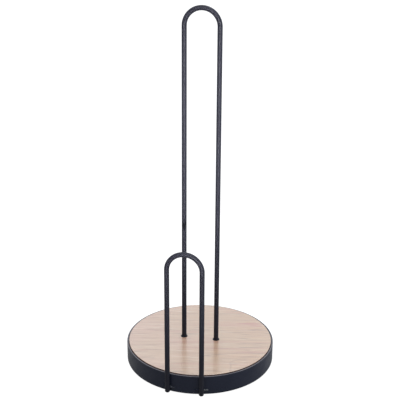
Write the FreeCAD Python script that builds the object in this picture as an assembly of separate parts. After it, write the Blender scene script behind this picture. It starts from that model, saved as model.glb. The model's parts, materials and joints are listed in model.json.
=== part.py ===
"""Free-standing paper towel holder: a wooden disc in a steel rim, with two wire hoops.

Frame: origin on the base's vertical axis at the surface that it stands on, +Z up,
-Y towards the short front arm. Lengths are in millimetres.
"""

import FreeCAD
import Part
import math
import os

Vector = FreeCAD.Vector
UP = Vector(0, 0, 1)

# ---- Overall ----
TOTAL_HEIGHT = 340.0        # surface to the top of the centre hoop
BASE_DIAMETER = 140.0       # outside of the steel rim
WIRE_DIAMETER = 4.5         # steel wire with its powder coat

# ---- Rim: a shallow pressed ring with a flange turned in underneath ----
RIM_HEIGHT = 18.6
RIM_SHEET = 1.5
RIM_INSIDE_BEND = 0.4       # inside radius of the bend from wall to flange
RIM_LIP_SHARE = 0.2         # rounding of the wall's top edges, as a share of the sheet
FLANGE_WIDTH = 20.0         # from the outside of the rim to the flange's inner edge

# ---- Wooden disc ----
DISC_THICKNESS = 18.0
DISC_GAP = 0.4              # between the disc's edge and the rim's wall
DISC_TOP_RADIUS = 0.5
DISC_BOTTOM_CHAMFER = 1.0

# ---- Centre hoop: the post that the roll slides over ----
HOOP_SPAN = 31.2            # between the centre lines of its two legs
THREAD_DIAMETER = 4.0       # M4, cut on the legs' lower ends
THREAD_PITCH = 0.7
THREAD_DEPTH = 0.38
THREAD_LENGTH = 11.0
THREAD_LEAD_IN = 0.5        # chamfer on the legs' lower ends
LEG_HOLE_CLEARANCE = 0.15   # radial, leg in the disc
LEG_END_RECESS = 0.6        # leg end above the disc's underside

# ---- Front arm: the shorter hoop welded to the rim ----
ARM_HEIGHT = 142.8          # surface to the top of the arm
ARM_SPAN = 31.2
ARM_END_LIFT = 0.8          # leg ends above the rim's underside
ARM_END_RADIUS = 1.0        # rounding of the leg ends

# ---- Weld beads, one each side of each arm leg ----
BEAD_LIFT = 5.1             # bead's middle above the rim's underside
BEAD_RIPPLES = 4            # overlapping round ripples, smaller away from the leg
BEAD_RIPPLE_RADIUS = 1.3    # the ripple beside the leg
BEAD_RIPPLE_SHRINK = 0.15   # each ripple's radius less than the last one's
BEAD_RIPPLE_PITCH = 1.3     # along the rim
BEAD_OFFSET = 1.6           # first ripple's middle from the line where the leg meets the rim

# ---- Collars that the centre hoop shoulders on ----
COLLAR_DIAMETER = 6.3
COLLAR_HEIGHT = 1.0
COLLAR_SEAT_DEPTH = 0.4     # the collar sits this deep in the disc's top
COLLAR_SEAT_CLEARANCE = 0.1
COLLAR_BORE_CLEARANCE = 0.05
COLLAR_TOP_RADIUS = 0.35

# ---- Nuts and washers under the disc ----
NUT_SIDES = 6
NUT_ACROSS_FLATS = 7.0
NUT_HEIGHT = 3.2
NUT_CHAMFER = 0.35
WASHER_DIAMETER = 9.0
WASHER_THICKNESS = 0.8
WASHER_BORE_CLEARANCE = 0.15
NUT_POCKET_DIAMETER = 10.0
NUT_POCKET_DEPTH = 6.4

# ---- Feet and the screws through them ----
FOOT_COUNT = 4
FOOT_FIRST_ANGLE = 45.0
FOOT_DIAMETER = 11.0
FOOT_HEIGHT = 2.7
FOOT_EDGE_RADIUS = 0.6
FOOT_RECESS_CLEARANCE = 0.4
FOOT_INSET = 13.0           # foot's centre in from the outside of the rim
SCREW_DIAMETER = 3.0
SCREW_LENGTH = 12.0         # under the head
SCREW_POINT = 2.4
SCREW_TIP_RADIUS = 0.3
SCREW_HEAD_DIAMETER = 5.6
SCREW_HEAD_HEIGHT = 1.5
SCREW_HEAD_ROUND = 0.9
SCREW_HEAD_SINK = 0.4       # head below the foot's face
SCREW_HOLE_CLEARANCE = 0.2
PILOT_EXTRA_DEPTH = 1.0     # the pilot hole goes this far beyond the screw's tip
CROSS_SLOT_WIDTH = 0.7
CROSS_SLOT_LENGTH = 3.0
CROSS_SLOT_DEPTH = 0.9

OVERSHOOT = 1.0             # how far a cutting tool runs past the face that it enters
FULL_TURN = 360.0           # degrees

# ---- Places that follow from those ----
rim_radius = BASE_DIAMETER / 2
wire_radius = WIRE_DIAMETER / 2
thread_radius = THREAD_DIAMETER / 2
rim_bottom = FOOT_HEIGHT
rim_top = rim_bottom + RIM_HEIGHT
disc_bottom = rim_bottom + RIM_SHEET
disc_top = disc_bottom + DISC_THICKNESS
disc_radius = rim_radius - RIM_SHEET - DISC_GAP
hoop_leg_x = HOOP_SPAN / 2
arm_leg_x = ARM_SPAN / 2
arm_y = -math.sqrt((rim_radius + wire_radius) ** 2 - arm_leg_x ** 2)
leg_end = disc_bottom + LEG_END_RECESS
collar_bottom = disc_top - COLLAR_SEAT_DEPTH
washer_top = disc_bottom + NUT_POCKET_DEPTH
washer_bottom = washer_top - WASHER_THICKNESS
nut_bottom = washer_bottom - NUT_HEIGHT
foot_centre_radius = rim_radius - FOOT_INSET
screw_seat = SCREW_HEAD_SINK + SCREW_HEAD_HEIGHT
screw_tip = screw_seat + SCREW_LENGTH


def cylinder(radius, bottom, height, x=0.0, y=0.0):
    return Part.makeCylinder(radius, height, Vector(x, y, bottom), UP)


def bore(radius, bottom, top, x=0.0, y=0.0):
    """A round cutting tool that runs past both ends of what it cuts."""
    return cylinder(radius, bottom - OVERSHOOT, top - bottom + 2 * OVERSHOOT, x, y)


def pocket(radius, bottom, depth, x=0.0, y=0.0):
    """A round cutting tool that enters from below and stops at its depth."""
    return cylinder(radius, bottom - OVERSHOOT, depth + OVERSHOOT, x, y)


def edges_at_height(shape, z, tolerance=1e-4):
    """The edges that lie at one height."""
    found = []
    for edge in shape.Edges:
        box = edge.BoundBox
        if abs(box.ZMin - z) < tolerance and abs(box.ZMax - z) < tolerance:
            found.append(edge)
    return found


def arc(centre_r, centre_z, radius, start, end):
    """Arc in the XZ plane about (centre_r, centre_z), between two angles in degrees."""
    points = []
    for angle in (start, (start + end) / 2, end):
        turn = math.radians(angle)
        points.append(Vector(centre_r + radius * math.cos(turn), 0,
                             centre_z + radius * math.sin(turn)))
    return Part.Arc(*points).toShape()


def line(r1, z1, r2, z2):
    return Part.makeLine(Vector(r1, 0, z1), Vector(r2, 0, z2))


def foot_places():
    for index in range(FOOT_COUNT):
        turn = math.radians(FOOT_FIRST_ANGLE + index * FULL_TURN / FOOT_COUNT)
        yield foot_centre_radius * math.cos(turn), foot_centre_radius * math.sin(turn)


def make_rim():
    """Wall, bend and flange as one turned section, with the screw holes."""
    inner = rim_radius - RIM_SHEET
    flange_inner = rim_radius - FLANGE_WIDTH
    outside_bend = RIM_INSIDE_BEND + RIM_SHEET
    bend_r = rim_radius - outside_bend
    bend_z = rim_bottom + outside_bend
    lip = RIM_SHEET * RIM_LIP_SHARE
    section = Part.Wire([
        line(flange_inner, rim_bottom, bend_r, rim_bottom),
        arc(bend_r, bend_z, outside_bend, -90, 0),
        line(rim_radius, bend_z, rim_radius, rim_top - lip),
        arc(rim_radius - lip, rim_top - lip, lip, 0, 90),
        line(rim_radius - lip, rim_top, inner + lip, rim_top),
        arc(inner + lip, rim_top - lip, lip, 90, 180),
        line(inner, rim_top - lip, inner, bend_z),
        arc(bend_r, bend_z, RIM_INSIDE_BEND, 0, -90),
        line(bend_r, disc_bottom, flange_inner, disc_bottom),
        line(flange_inner, disc_bottom, flange_inner, rim_bottom),
    ])
    rim = Part.Face(section).revolve(Vector(0, 0, 0), UP, FULL_TURN)
    hole_radius = SCREW_DIAMETER / 2 + SCREW_HOLE_CLEARANCE
    for x, y in foot_places():
        rim = rim.cut(bore(hole_radius, rim_bottom, disc_bottom, x, y))
    return rim


def make_disc():
    """Disc with leg holes, collar seats, nut pockets and pilot holes."""
    disc = cylinder(disc_radius, disc_bottom, DISC_THICKNESS)
    disc = disc.makeFillet(DISC_TOP_RADIUS, edges_at_height(disc, disc_top))
    disc = disc.makeChamfer(DISC_BOTTOM_CHAMFER, edges_at_height(disc, disc_bottom))
    leg_hole = wire_radius + LEG_HOLE_CLEARANCE
    seat = COLLAR_DIAMETER / 2 + COLLAR_SEAT_CLEARANCE
    cuts = []
    for x in (-hoop_leg_x, hoop_leg_x):
        cuts.append(bore(leg_hole, disc_bottom, disc_top, x))
        cuts.append(cylinder(seat, collar_bottom, COLLAR_SEAT_DEPTH + OVERSHOOT, x))
        cuts.append(pocket(NUT_POCKET_DIAMETER / 2, disc_bottom, NUT_POCKET_DEPTH, x))
    pilot_depth = screw_tip + PILOT_EXTRA_DEPTH - disc_bottom
    for x, y in foot_places():
        cuts.append(pocket(SCREW_DIAMETER / 2, disc_bottom, pilot_depth, x, y))
    return disc.cut(cuts)


def wire_hoop(leg_x, y, bottom, top):
    """A wire bent into a hoop: two upright legs and a half-round top."""
    spring_line = top - wire_radius - leg_x
    start = Part.makeCircle(wire_radius, Vector(leg_x, y, spring_line), UP)
    axis = Vector(0, -1, 0)
    bend = Part.Face(Part.Wire(start)).revolve(Vector(0, y, spring_line), axis, FULL_TURN / 2)
    legs = [cylinder(wire_radius, bottom, spring_line - bottom, x, y) for x in (-leg_x, leg_x)]
    return bend.fuse(legs).removeSplitter()


def threaded_end(x):
    """The turned-down end of one leg, with a V groove for each turn of the thread."""
    end = cylinder(thread_radius, leg_end, THREAD_LENGTH, x)
    end = end.makeChamfer(THREAD_LEAD_IN, edges_at_height(end, leg_end))
    core = thread_radius - THREAD_DEPTH
    mouth = thread_radius + THREAD_DEPTH
    half_width = THREAD_PITCH * mouth / (2 * thread_radius + THREAD_DEPTH)
    grooves = []
    for turn in range(int((THREAD_LENGTH - THREAD_LEAD_IN) / THREAD_PITCH)):
        z = leg_end + THREAD_LEAD_IN + (turn + 0.5) * THREAD_PITCH
        section = Part.makePolygon([
            Vector(x + core, 0, z),
            Vector(x + mouth, 0, z + half_width),
            Vector(x + mouth, 0, z - half_width),
            Vector(x + core, 0, z),
        ])
        grooves.append(Part.Face(section).revolve(Vector(x, 0, 0), UP, FULL_TURN))
    return end.cut(grooves)


def make_centre_hoop():
    hoop = wire_hoop(hoop_leg_x, 0, leg_end + THREAD_LENGTH, TOTAL_HEIGHT)
    return hoop.fuse([threaded_end(-hoop_leg_x), threaded_end(hoop_leg_x)])


def make_front_arm():
    arm = wire_hoop(arm_leg_x, arm_y, rim_bottom + ARM_END_LIFT, ARM_HEIGHT)
    return arm.makeFillet(ARM_END_RADIUS, edges_at_height(arm, rim_bottom + ARM_END_LIFT))


def make_collar(x):
    top = collar_bottom + COLLAR_HEIGHT
    collar = cylinder(COLLAR_DIAMETER / 2, collar_bottom, COLLAR_HEIGHT, x)
    collar = collar.makeFillet(COLLAR_TOP_RADIUS, edges_at_height(collar, top))
    return collar.cut(bore(wire_radius + COLLAR_BORE_CLEARANCE, collar_bottom, top, x))


def make_washer(x):
    washer = cylinder(WASHER_DIAMETER / 2, washer_bottom, WASHER_THICKNESS, x)
    return washer.cut(bore(thread_radius + WASHER_BORE_CLEARANCE, washer_bottom, washer_top, x))


def make_nut(x):
    """Hexagon nut, both ends chamfered by a cone, threaded on the leg."""
    corner = NUT_ACROSS_FLATS / math.sqrt(3)
    corners = []
    for index in range(NUT_SIDES + 1):
        turn = math.radians(index * FULL_TURN / NUT_SIDES)
        corners.append(Vector(x + corner * math.cos(turn), corner * math.sin(turn), nut_bottom))
    nut = Part.Face(Part.makePolygon(corners)).extrude(UP * NUT_HEIGHT)
    rounded = cylinder(corner, nut_bottom, NUT_HEIGHT, x)
    ends = edges_at_height(rounded, nut_bottom)
    ends += edges_at_height(rounded, nut_bottom + NUT_HEIGHT)
    nut = nut.common(rounded.makeChamfer(NUT_CHAMFER, ends))
    return nut.cut(bore(thread_radius, nut_bottom, washer_bottom, x))


def make_foot(x, y):
    """Rubber puck with a recess for the screw's head."""
    foot = cylinder(FOOT_DIAMETER / 2, 0, FOOT_HEIGHT, x, y)
    foot = foot.makeFillet(FOOT_EDGE_RADIUS, edges_at_height(foot, 0))
    recess = SCREW_HEAD_DIAMETER / 2 + FOOT_RECESS_CLEARANCE
    hole = SCREW_DIAMETER / 2 + SCREW_HOLE_CLEARANCE
    return foot.cut([pocket(recess, 0, screw_seat, x, y), bore(hole, 0, FOOT_HEIGHT, x, y)])


def make_screw(x, y):
    """Pan-head screw standing head down, with a cross recess."""
    head = cylinder(SCREW_HEAD_DIAMETER / 2, SCREW_HEAD_SINK, SCREW_HEAD_HEIGHT, x, y)
    head = head.makeFillet(SCREW_HEAD_ROUND, edges_at_height(head, SCREW_HEAD_SINK))
    shank = cylinder(SCREW_DIAMETER / 2, screw_seat, SCREW_LENGTH - SCREW_POINT, x, y)
    point = Part.makeCone(SCREW_DIAMETER / 2, SCREW_TIP_RADIUS, SCREW_POINT,
                          Vector(x, y, screw_tip - SCREW_POINT), UP)
    slots = []
    for long_side, short_side in ((CROSS_SLOT_LENGTH, CROSS_SLOT_WIDTH),
                                  (CROSS_SLOT_WIDTH, CROSS_SLOT_LENGTH)):
        corner = Vector(x - long_side / 2, y - short_side / 2, SCREW_HEAD_SINK - OVERSHOOT)
        slots.append(Part.makeBox(long_side, short_side, CROSS_SLOT_DEPTH + OVERSHOOT, corner))
    return head.fuse([shank, point]).cut(slots)


def make_weld(leg_x):
    """Rippled beads in the corners between the rim and both sides of one arm leg."""
    leg_angle = math.atan2(arm_y, leg_x)
    z = rim_bottom + BEAD_LIFT
    beads = []
    for side in (-1, 1):
        ripples = []
        for index in range(BEAD_RIPPLES):
            turn = leg_angle + side * (BEAD_OFFSET + index * BEAD_RIPPLE_PITCH) / rim_radius
            centre = Vector(rim_radius * math.cos(turn), rim_radius * math.sin(turn), z)
            radius = BEAD_RIPPLE_RADIUS - index * BEAD_RIPPLE_SHRINK
            ripples.append(Part.makeSphere(radius, centre))
        beads.append(ripples[0].fuse(ripples[1:]))
    rim_side = cylinder(rim_radius, rim_bottom, RIM_HEIGHT)
    leg_side = cylinder(wire_radius, rim_bottom, RIM_HEIGHT, leg_x, arm_y)
    return Part.Compound([bead.cut([rim_side, leg_side]) for bead in beads])


def main():
    nodes = {
        "base_rim": make_rim(),
        "wood_disc": make_disc(),
        "centre_hoop": make_centre_hoop(),
        "front_arm": make_front_arm(),
    }
    for word, side in (("left", -1), ("right", 1)):
        x = side * hoop_leg_x
        nodes["hoop_collar_" + word] = make_collar(x)
        nodes["hoop_washer_" + word] = make_washer(x)
        nodes["hoop_nut_" + word] = make_nut(x)
        nodes["arm_weld_" + word] = make_weld(side * arm_leg_x)
    foot_words = ("rear_right", "rear_left", "front_left", "front_right")
    for word, (x, y) in zip(foot_words, foot_places()):
        nodes["rubber_foot_" + word] = make_foot(x, y)
        nodes["foot_screw_" + word] = make_screw(x, y)
    os.makedirs("parts", exist_ok=True)
    for name, shape in nodes.items():
        shape.exportStep("parts/" + name + ".step")


main()
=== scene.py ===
"""A paper towel holder on a pale studio floor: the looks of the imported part."""

import json
import math
from collections import namedtuple

import bpy
from mathutils import Matrix, Vector

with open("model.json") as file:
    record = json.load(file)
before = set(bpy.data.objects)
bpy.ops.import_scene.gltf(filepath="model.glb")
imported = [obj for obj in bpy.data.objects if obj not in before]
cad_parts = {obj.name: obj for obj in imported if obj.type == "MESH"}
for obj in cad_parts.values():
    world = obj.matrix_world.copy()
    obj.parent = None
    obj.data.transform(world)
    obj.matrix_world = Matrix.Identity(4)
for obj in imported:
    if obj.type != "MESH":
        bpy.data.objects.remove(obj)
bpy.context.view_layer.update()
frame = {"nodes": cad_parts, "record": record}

# ---- The camera: where it stands, in metres and degrees ----
CAMERA_AZIMUTH = 11.40
CAMERA_ELEVATION = 20.93
CAMERA_ROLL = 0.354
CAMERA_DISTANCE = 0.8555
AIM_HEIGHT = 0.1640
AIM_SIDESTEP = -0.00088
LENS = 84.66
SENSOR = 36.0
CLIP_END = 50

# ---- The studio, in metres, watts and degrees ----
FLOOR_SIZE = 6.0
FLOOR_ALBEDO = 0.12
FLOOR_ROUGHNESS = 0.9
FLOOR_GLOW = 1.0            # as the camera sees it
FLOOR_FILL = 0.40           # as the object is lit by it
SKY_FRONT = 0.35            # the surround behind the photographer
SKY_BACK = 1.15             # the white surround behind the object
SKY_RIGHT = 1.10            # added on the right
SKY_LEFT = -0.30            # and on the left, by a black flag
FRONT_TO_BACK = (-0.35, 0.55)       # how far to the back the surround changes from one to the other
RIGHT_FADE = (0.55, 0.98)           # how far to the right the added light starts and is full
LEFT_FADE = (-0.30, -0.80)
SKY_SEEN = 1.1              # at least, where the camera looks past the floor
SKY_TINT = (0.92, 1.0, 1.05)
OVERHEAD_POWER = 68
OVERHEAD_SIZE = 3.0
OVERHEAD_HEIGHT = 2.2
GRID_PLACE = (0.35, -1.6, 0.25)     # a gridded softbox whose beam passes over the base
GRID_AIM = (0.0, 0.0, 0.235)
GRID_SIZE = 0.26
GRID_POWER = 0.52
GRID_SPREAD = 8.0

# ---- A noise: its cells per metre along x, y and z, its detail, the range of it that shows, its
#      offset in cells, and how rough it is ----
Noise = namedtuple("Noise", "cells detail shown offset roughness",
                   defaults=(2, (0.3, 0.7), (0, 0, 0), 0.5))

# ---- Powder coat: its darker and lighter clouds, and the specks of its grain ----
WIRE_COAT = ((0.0080, 0.0082, 0.0150), (0.0110, 0.0112, 0.0190), (0.0135, 0.0137, 0.0210))
RIM_COAT = ((0.0080, 0.0110, 0.0245), (0.0110, 0.0140, 0.0290), (0.0145, 0.0170, 0.0315))
WIRE_ROUGHNESS = 0.50
RIM_ROUGHNESS = 0.38
ROUGHNESS_RISE = 0.08                   # from its smoothest to its roughest clouds
COAT_SPECULAR = 0.18
COAT_CLOUDS = Noise((60, 60, 60), 3)
COAT_GRAIN = Noise((2600, 2600, 2600), 1, (0.35, 0.75))
COAT_PEEL = Noise((900, 900, 900))
COAT_WORKED = Noise((140, 140, 140), 3)
GRAIN_DEPTH = 0.00001
PEEL_DEPTH = 0.00003
EDGE_HIGHLIGHT_COAT = (0.095, 0.088, 0.098)     # a painted highlight, grey, along the rim's top edge
EDGE_HIGHLIGHT_LEAST = 0.55                     # how much of the painted highlight shows where it is faintest
EDGE_HIGHLIGHT_UP = (0.35, 0.85)                # how far a face looks up before it takes the painted highlight, and fully so
EDGE_HIGHLIGHT_FRONT = (0.045, 0.010)           # the y where the painted highlight starts, and where it is full, towards the front
EDGE_HIGHLIGHT_CLOUDS = Noise((90, 90, 90), 4, (0.25, 0.6), roughness=0.7)
# A painted glint on the weld beads, to the right of each leg and strongest at the right leg
WELD_GLINT = (0.140, 0.140, 0.145)
GLINT_LEFT, GLINT_RIGHT = 0.25, 0.9       # how strong the painted glint is beside each leg
GLINT_EDGE = 0.0005
GLINT_CLOUDS = Noise((700, 700, 700), 2, (0.35, 0.6))
ARM_LEG_X = 0.0156

# ---- The board's figure, in metres along and across its grain ----
GRAIN_TURN = 10.0           # degrees from the x axis
RING_WIDTH = 0.0052
RING_DARKENS = (0.60, 0.93)         # where in a ring its latewood starts and is darkest
RING_ENDS = (1.0, 0.95)             # and where it is gone again, read backwards
RING_STRENGTH = (0.05, 0.42)
RING_SWAY = 0.004
HEART_Y = -0.0585           # line that the growth rings are centred on
HEART_DEPTH = 0.0490        # its depth under the board's middle
HEART_SLOPE = 0.08          # how fast it rises to the right
STREAKS = (((0.0482, 0.0299), (0.0135, 0.0021)),    # pink mineral streaks: the middle of each,
           ((0.0535, 0.0250), (0.0070, 0.0014)))    # then half its length and half its width
STREAK_FADE = (1.4, 0.2)            # squared shares of that size, where it starts and is full
STREAK_RAGGED = 0.5                 # how much more or less of a share its rim wanders
ARCH_PLACE = (0.055, -0.0575)       # the middle of one bold growth ring, like a blunt arch
ARCH_SIZE = (0.026, 0.0177)         # half its length and half its width
ARCH_LINE = 0.045                   # the ring's thickness, as a share of its size
ARCH_BLUNTNESS = 5.0
ARCH_WOBBLE = 0.04
PLY_THICKNESS = 0.0018
PLY_LINE = (0.0004, 0.0014)         # from the middle of a glue line to clean ply
EDGE_TILT = (0.75, 0.25)            # how far a face looks up or down before it counts as the edge
PORE_DEPTH = 0.00002
FIBRE_DEPTH = 0.00001

# ---- The board's noises: along its grain, across it and up ----
SWAY = Noise((9, 26, 26), 2, (0.25, 0.75))
LATEWOOD = Noise((22, 120, 120), 2, (0.35, 0.6))
WOBBLE = Noise((90, 90, 90))
RAGGED = Noise((70, 600, 600), 3)
BROAD = Noise((7, 36, 36), 3, (0.35, 0.65))
HUE = Noise((16, 30, 30), 3, (0.38, 0.62), (2, 7, 4))
BAND = Noise((7, 200, 200), 3, (0.38, 0.62), (5, 2, 1))
FIBRE = Noise((20, 900, 900), 3, roughness=0.6)
FLECK = Noise((42, 480, 480), 2, (0.57, 0.68), (3, 1, 7))
GLEAM = Noise((38, 620, 620), 2, (0.58, 0.68), (8, 6, 3))
BLUSH = Noise((16, 170, 170), 2, (0.55, 0.68), (9, 4, 2))
SHEEN = Noise((50, 400, 400))

# ---- The board's colours: pinker on the left and more straw-coloured on the right, under layers
#      that each have a strength and a tint ----
SIDES = (-0.075, 0.05)
PALE_WOOD = ((0.412, 0.274, 0.216), (0.396, 0.250, 0.164))
DEEP_WOOD = ((0.374, 0.234, 0.184), (0.356, 0.214, 0.134))
HUE_LAYER = (0.45, (0.362, 0.262, 0.168))
BAND_LAYER = (0.36, (0.304, 0.196, 0.138))
RING_LAYER = (1.0, (0.245, 0.150, 0.108))
ARCH_LAYER = (0.65, (0.245, 0.150, 0.108))
FIBRE_LAYER = (0.30, (0.275, 0.188, 0.143))
FLECK_LAYER = (0.55, (0.185, 0.120, 0.095))
GLEAM_LAYER = (0.35, (0.480, 0.390, 0.310))
BLUSH_LAYER = (0.45, (0.310, 0.158, 0.128))
STREAK_LAYER = (0.75, (0.300, 0.140, 0.112))
GLUE_LINE = (0.080, 0.040, 0.033)
DARK_SIDE_PLY = (0.145, 0.082, 0.066)
WOOD_ROUGHNESS = (0.36, 0.48)
LACQUER_IOR = 1.80
LACQUER_ROUGHNESS = 0.21
LACQUER_ON_EDGE = 0.1

# ---- Zinc and rubber ----
DULL_ZINC = (0.60, 0.62, 0.63)
BRIGHT_ZINC = (0.72, 0.72, 0.70)
ZINC_ROUGHNESS = (0.22, 0.36)
ZINC_SPANGLE = Noise((500, 500, 500))
ZINC_POLISH = Noise((900, 900, 900))
SPANGLE_DEPTH = 0.00001
CLEAN_RUBBER = (0.016, 0.016, 0.017)
DUSTY_RUBBER = (0.030, 0.029, 0.028)
RUBBER_ROUGHNESS = (0.62, 0.80)
RUBBER_GRAIN = Noise((1500, 1500, 1500))
RUBBER_DUST = Noise((220, 220, 220), 3, (0.45, 0.75))
RUBBER_DEPTH = 0.00004


# ---------------------------------------------------------------- camera, floor and lights

def add_camera():
    """A camera that looks down on the base from the front right."""
    turn = math.radians(CAMERA_AZIMUTH)
    tilt = math.radians(CAMERA_ELEVATION)
    roll = math.radians(CAMERA_ROLL)
    level = math.cos(tilt)
    forward = Vector((-math.sin(turn) * level, math.cos(turn) * level, -math.sin(tilt)))
    right = forward.cross(Vector((0, 0, 1))).normalized()
    up = right.cross(forward)
    rolled_right = right * math.cos(roll) + up * math.sin(roll)
    rolled_up = up * math.cos(roll) - right * math.sin(roll)
    aim = Vector((0, 0, AIM_HEIGHT)) + rolled_right * AIM_SIDESTEP
    axes = Matrix((rolled_right, rolled_up, -forward)).transposed().to_4x4()
    camera = bpy.data.objects.new("camera", bpy.data.cameras.new("camera"))
    camera.matrix_world = Matrix.Translation(aim - forward * CAMERA_DISTANCE) @ axes
    camera.data.lens = LENS
    camera.data.sensor_width = SENSOR
    camera.data.clip_end = CLIP_END
    bpy.context.collection.objects.link(camera)
    bpy.context.scene.camera = camera


def add_floor():
    """A pale table that photographs pure white and throws a softer light back on the object."""
    half = FLOOR_SIZE / 2
    mesh = bpy.data.meshes.new("floor")
    corners = [(-half, -half, 0), (half, -half, 0), (half, half, 0), (-half, half, 0)]
    mesh.from_pydata(corners, [], [(0, 1, 2, 3)])
    floor = bpy.data.objects.new("floor", mesh)
    bpy.context.collection.objects.link(floor)
    graph = Graph("floor")
    graph.constant("Base Color", (FLOOR_ALBEDO, FLOOR_ALBEDO, FLOOR_ALBEDO, 1))
    graph.constant("Roughness", FLOOR_ROUGHNESS)
    graph.constant("Specular IOR Level", 0.0)
    graph.constant("Emission Color", (1, 1, 1, 1))
    seen = graph.nodes.new("ShaderNodeLightPath").outputs["Is Camera Ray"]
    graph.drive("Emission Strength", graph.span(seen, 0, 1, FLOOR_FILL, FLOOR_GLOW))
    mesh.materials.append(graph.material)


def add_light(name, place, aim, size, power, spread=180.0):
    """A round softbox; a grid in front of it narrows its spread."""
    data = bpy.data.lights.new(name, "AREA")
    data.spread = math.radians(spread)
    data.shape = "DISK"
    data.size = size
    data.energy = power
    light = bpy.data.objects.new(name, data)
    light.location = place
    light.rotation_euler = (Vector(aim) - Vector(place)).to_track_quat("-Z", "Y").to_euler()
    bpy.context.collection.objects.link(light)


def add_surround():
    """A soft white surround, dimmer towards the photographer's side and brighter on the right."""
    world = bpy.data.worlds.new("studio")
    bpy.context.scene.world = world
    world.use_nodes = True
    graph = Graph(world)
    x, y, _ = graph.split(graph.coordinates.outputs["Generated"])
    sky = graph.span(y, *FRONT_TO_BACK, SKY_FRONT, SKY_BACK)
    sky = graph.math("ADD", sky, graph.span(x, *RIGHT_FADE, 0.0, SKY_RIGHT))
    sky = graph.math("ADD", sky, graph.span(x, *LEFT_FADE, 0.0, SKY_LEFT))
    background = graph.nodes["Background"]
    background.inputs["Color"].default_value = (*SKY_TINT, 1)
    seen = graph.nodes.new("ShaderNodeLightPath").outputs["Is Camera Ray"]
    seen_sky = graph.math("MULTIPLY", seen, SKY_SEEN)
    graph.feed(background.inputs["Strength"], graph.math("MAXIMUM", sky, seen_sky))


def add_lights():
    add_surround()
    add_light("overhead", (0, 0, OVERHEAD_HEIGHT), (0, 0, 0), OVERHEAD_SIZE, OVERHEAD_POWER)
    add_light("grid", GRID_PLACE, GRID_AIM, GRID_SIZE, GRID_POWER, GRID_SPREAD)
    bpy.context.scene.view_settings.view_transform = "Standard"


# ---------------------------------------------------------------- material graphs

MIX_COLOURS, MIXED_COLOUR = (6, 7), 2      # where a Mix node keeps its colours among its sockets


class Graph:
    """One material's nodes, built a step at a time from Object coordinates in metres."""

    def __init__(self, owner):
        """The nodes of a new material of this name, or of a world."""
        if isinstance(owner, str):
            owner = bpy.data.materials.new(owner)
            owner.use_nodes = True
        self.material = owner
        self.nodes = owner.node_tree.nodes
        self.links = owner.node_tree.links
        self.shader = self.nodes.get("Principled BSDF")
        self.coordinates = self.nodes.new("ShaderNodeTexCoord")
        self.place = self.coordinates.outputs["Object"]

    def feed(self, socket, value):
        if isinstance(value, bpy.types.NodeSocket):
            self.links.new(value, socket)
        else:
            socket.default_value = value

    def constant(self, name, value):
        self.shader.inputs[name].default_value = value

    def drive(self, name, value):
        self.links.new(value, self.shader.inputs[name])

    def math(self, operation, first, second=0.0):
        node = self.nodes.new("ShaderNodeMath")
        node.operation = operation
        self.feed(node.inputs[0], first)
        self.feed(node.inputs[1], second)
        return node.outputs[0]

    def split(self, vector):
        """A vector's x, y and z, as three sockets."""
        node = self.nodes.new("ShaderNodeSeparateXYZ")
        self.feed(node.inputs[0], vector)
        return node.outputs

    def noise(self, kind):
        """A Noise as it comes, between about 0.2 and 0.8."""
        mapping = self.nodes.new("ShaderNodeMapping")
        self.feed(mapping.inputs["Vector"], self.place)
        mapping.inputs["Scale"].default_value = kind.cells
        mapping.inputs["Location"].default_value = kind.offset
        node = self.nodes.new("ShaderNodeTexNoise")
        self.feed(node.inputs["Vector"], mapping.outputs[0])
        node.inputs["Scale"].default_value = 1.0
        node.inputs["Detail"].default_value = kind.detail
        node.inputs["Roughness"].default_value = kind.roughness
        return node.outputs["Fac"]

    def clouds(self, kind, low=0.0, high=1.0):
        """A Noise, with the range of it that shows carried over to low and high."""
        return self.span(self.noise(kind), *kind.shown, low, high)

    def offset_share(self, value, middle, half):
        """How far a value is from the middle, as a share of half the size."""
        offset = self.math("SUBTRACT", value, middle)
        return self.math("ABSOLUTE", self.math("DIVIDE", offset, half))

    def span(self, value, low, high, to_low=0.0, to_high=1.0):
        """The value's range low to high, carried over to another and held at its ends."""
        node = self.nodes.new("ShaderNodeMapRange")
        node.interpolation_type = "SMOOTHSTEP"
        ends = {"From Min": low, "From Max": high, "To Min": to_low, "To Max": to_high}
        for name, number in ends.items():
            node.inputs[name].default_value = number
        self.feed(node.inputs["Value"], value)
        return node.outputs["Result"]

    def blend(self, share, first, second):
        """A colour this share of the way from the first to the second."""
        node = self.nodes.new("ShaderNodeMix")
        node.data_type = "RGBA"
        self.feed(node.inputs[0], share)
        for socket, colour in zip(MIX_COLOURS, (first, second)):
            self.feed(node.inputs[socket], (*colour, 1) if isinstance(colour, tuple) else colour)
        return node.outputs[MIXED_COLOUR]

    def bump(self, height, distance, under=None):
        """Raises the surface by distance, in metres, where height goes from 0 to 1."""
        node = self.nodes.new("ShaderNodeBump")
        self.feed(node.inputs["Height"], height)
        node.inputs["Distance"].default_value = distance
        node.inputs["Strength"].default_value = 1.0
        if under:
            self.feed(node.inputs["Normal"], under)
        return node.outputs[0]

    def facing_up(self):
        """How far the surface faces up, from -1 to 1."""
        _, _, up = self.split(self.nodes.new("ShaderNodeNewGeometry").outputs["Normal"])
        return up


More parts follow.
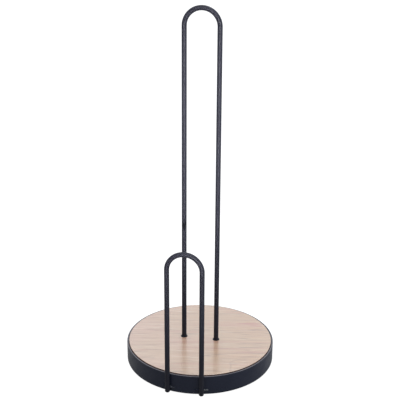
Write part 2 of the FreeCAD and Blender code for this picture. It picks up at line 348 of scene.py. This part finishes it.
def powder_coat(name, tones, roughness, highlit_edge=False, glint=0.0, glint_from=0.0):
    """Satin black powder coat with a fine orange peel.

    It can paint a grey highlight where the coat faces up, as on the rim's top edge, but less towards
    the back, and a painted glint of a given strength to the right of a given x, as on the welds.
    """
    graph = Graph(name)
    dark, light, speck = tones
    grain = graph.clouds(COAT_GRAIN)
    colour = graph.blend(grain, graph.blend(graph.clouds(COAT_CLOUDS), dark, light), speck)
    if highlit_edge:
        # Painted highlight: the upward faces are greyed, more towards the front.
        _, y, _ = graph.split(graph.place)
        highlight = graph.clouds(EDGE_HIGHLIGHT_CLOUDS, EDGE_HIGHLIGHT_LEAST)
        highlight = graph.math("MULTIPLY", highlight, graph.span(graph.facing_up(), *EDGE_HIGHLIGHT_UP))
        highlight = graph.math("MULTIPLY", highlight, graph.span(y, *EDGE_HIGHLIGHT_FRONT))
        colour = graph.blend(highlight, colour, EDGE_HIGHLIGHT_COAT)
    if glint:
        # Painted glint: lighter grey to the right of the given x.
        x, _, _ = graph.split(graph.place)
        beside = graph.span(x, glint_from, glint_from + GLINT_EDGE)
        glinting = graph.math("MULTIPLY", graph.clouds(GLINT_CLOUDS, 0.0, glint), beside)
        colour = graph.blend(glinting, colour, WELD_GLINT)
    graph.drive("Base Color", colour)
    graph.drive("Roughness", graph.clouds(COAT_WORKED, roughness, roughness + ROUGHNESS_RISE))
    peel = graph.bump(graph.noise(COAT_PEEL), PEEL_DEPTH)
    graph.drive("Normal", graph.bump(grain, GRAIN_DEPTH, peel))
    graph.constant("Specular IOR Level", COAT_SPECULAR)
    return graph.material


def wood():
    """Pale close-grained board under a satin lacquer, its grain a little off the hoops' plane."""
    graph = Graph("wood")
    turned = graph.nodes.new("ShaderNodeMapping")
    graph.feed(turned.inputs["Vector"], graph.place)
    turned.inputs["Rotation"].default_value = (0, 0, math.radians(-GRAIN_TURN))
    graph.place = turned.outputs[0]
    x, y, z = graph.split(graph.place)

    # Growth rings about a centre line that rises slowly under the board, so they show as arches.
    sway = graph.clouds(SWAY, -RING_SWAY, RING_SWAY)
    across = graph.math("ADD", graph.math("SUBTRACT", y, HEART_Y), sway)
    under = graph.math("ADD", graph.math("MULTIPLY", x, -HEART_SLOPE), HEART_DEPTH)
    radius = graph.math("SQRT", graph.math("ADD", graph.math("MULTIPLY", across, across),
                                           graph.math("MULTIPLY", under, under)))
    ring = graph.math("FRACT", graph.math("DIVIDE", radius, RING_WIDTH))
    late = graph.math("MULTIPLY", graph.span(ring, *RING_DARKENS), graph.span(ring, *RING_ENDS))
    late = graph.math("MULTIPLY", late, graph.clouds(LATEWOOD, *RING_STRENGTH))

    # One bold blunt arch at the front.
    along = graph.offset_share(x, ARCH_PLACE[0], ARCH_SIZE[0])
    aside = graph.offset_share(y, ARCH_PLACE[1], ARCH_SIZE[1])
    reach = graph.math("ADD", graph.math("POWER", along, ARCH_BLUNTNESS),
                       graph.math("POWER", aside, ARCH_BLUNTNESS))
    reach = graph.math("POWER", reach, 1.0 / ARCH_BLUNTNESS)
    reach = graph.math("ADD", reach, graph.clouds(WOBBLE, -ARCH_WOBBLE, ARCH_WOBBLE))
    arch = graph.span(graph.math("ABSOLUTE", graph.math("SUBTRACT", reach, 1.0)), ARCH_LINE, 0.0)

    # Pink streaks, ragged at their ends.
    ragged = graph.clouds(RAGGED, -STREAK_RAGGED, STREAK_RAGGED)
    streak = 0.0
    for place, size in STREAKS:
        along = graph.offset_share(x, place[0], size[0])
        aside = graph.offset_share(y, place[1], size[1])
        apart = graph.math("ADD", graph.math("POWER", along, 2.0), graph.math("POWER", aside, 2.0))
        mark = graph.span(graph.math("ADD", apart, ragged), *STREAK_FADE)
        streak = graph.math("MAXIMUM", mark, streak)

    # The layers of colour, from broad clouds down to single pores and then the streaks.
    side = graph.span(x, *SIDES)
    colour = graph.blend(graph.clouds(BROAD), graph.blend(side, *PALE_WOOD),
                         graph.blend(side, *DEEP_WOOD))
    fibre = graph.clouds(FIBRE)
    fleck = graph.clouds(FLECK)
    for layer, (strength, tint) in ((graph.clouds(HUE), HUE_LAYER), (graph.clouds(BAND), BAND_LAYER),
                                    (late, RING_LAYER), (arch, ARCH_LAYER), (fibre, FIBRE_LAYER),
                                    (fleck, FLECK_LAYER), (graph.clouds(GLEAM), GLEAM_LAYER),
                                    (graph.clouds(BLUSH), BLUSH_LAYER), (streak, STREAK_LAYER)):
        colour = graph.blend(graph.math("MULTIPLY", layer, strength), colour, tint)

    # The disc's side faces are dark brown, darker still along its glue lines.
    edge = graph.span(graph.math("ABSOLUTE", graph.facing_up()), *EDGE_TILT)
    ply = graph.span(graph.math("PINGPONG", z, PLY_THICKNESS), *PLY_LINE)
    dark_side = graph.blend(ply, GLUE_LINE, DARK_SIDE_PLY)
    graph.drive("Base Color", graph.blend(edge, colour, dark_side))

    graph.drive("Roughness", graph.clouds(SHEEN, *WOOD_ROUGHNESS))
    graph.drive("Coat Weight", graph.span(edge, 0.0, 1.0, 1.0, LACQUER_ON_EDGE))
    graph.constant("Coat Roughness", LACQUER_ROUGHNESS)
    graph.constant("Coat IOR", LACQUER_IOR)
    graph.drive("Normal", graph.bump(fleck, -PORE_DEPTH, graph.bump(fibre, FIBRE_DEPTH)))
    return graph.material


def zinc():
    """Bright zinc plate with a fine spangle."""
    graph = Graph("zinc")
    graph.drive("Base Color", graph.blend(graph.clouds(ZINC_SPANGLE), DULL_ZINC, BRIGHT_ZINC))
    graph.constant("Metallic", 1.0)
    graph.drive("Roughness", graph.clouds(ZINC_POLISH, *ZINC_ROUGHNESS))
    graph.drive("Normal", graph.bump(graph.noise(ZINC_SPANGLE), SPANGLE_DEPTH))
    return graph.material


def rubber():
    """Matt moulded rubber with a fine grain."""
    graph = Graph("rubber")
    graph.drive("Base Color", graph.blend(graph.clouds(RUBBER_DUST), CLEAN_RUBBER, DUSTY_RUBBER))
    graph.drive("Roughness", graph.clouds(RUBBER_GRAIN, *RUBBER_ROUGHNESS))
    graph.drive("Normal", graph.bump(graph.noise(RUBBER_GRAIN), RUBBER_DEPTH))
    return graph.material


# ---------------------------------------------------------------- the object

def dress():
    """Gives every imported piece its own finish, as the record's material slots say."""
    made = {"powder_coat": powder_coat("powder_coat", WIRE_COAT, WIRE_ROUGHNESS), "wood": wood(),
            "zinc": zinc(), "rubber": rubber()}
    # The rim's top edge gets a painted highlight.
    special = {"base_rim": powder_coat("powder_coat_rim", RIM_COAT, RIM_ROUGHNESS, highlit_edge=True)}
    # The welds get a painted glint to the right of each leg.
    for side, glint, leg_x in (("left", GLINT_LEFT, -ARM_LEG_X), ("right", GLINT_RIGHT, ARM_LEG_X)):
        weld_coat = powder_coat(f"powder_coat_weld_{side}", RIM_COAT, RIM_ROUGHNESS, glint=glint,
                                glint_from=leg_x)
        special[f"arm_weld_{side}"] = weld_coat
    slots = {part["node"]: part["material_slot"] for part in frame["record"]["subparts"]}
    for node, piece in frame["nodes"].items():
        piece.data.materials.clear()
        piece.data.materials.append(special.get(node, made[slots[node]]))


add_camera()
add_lights()
add_floor()
dress()
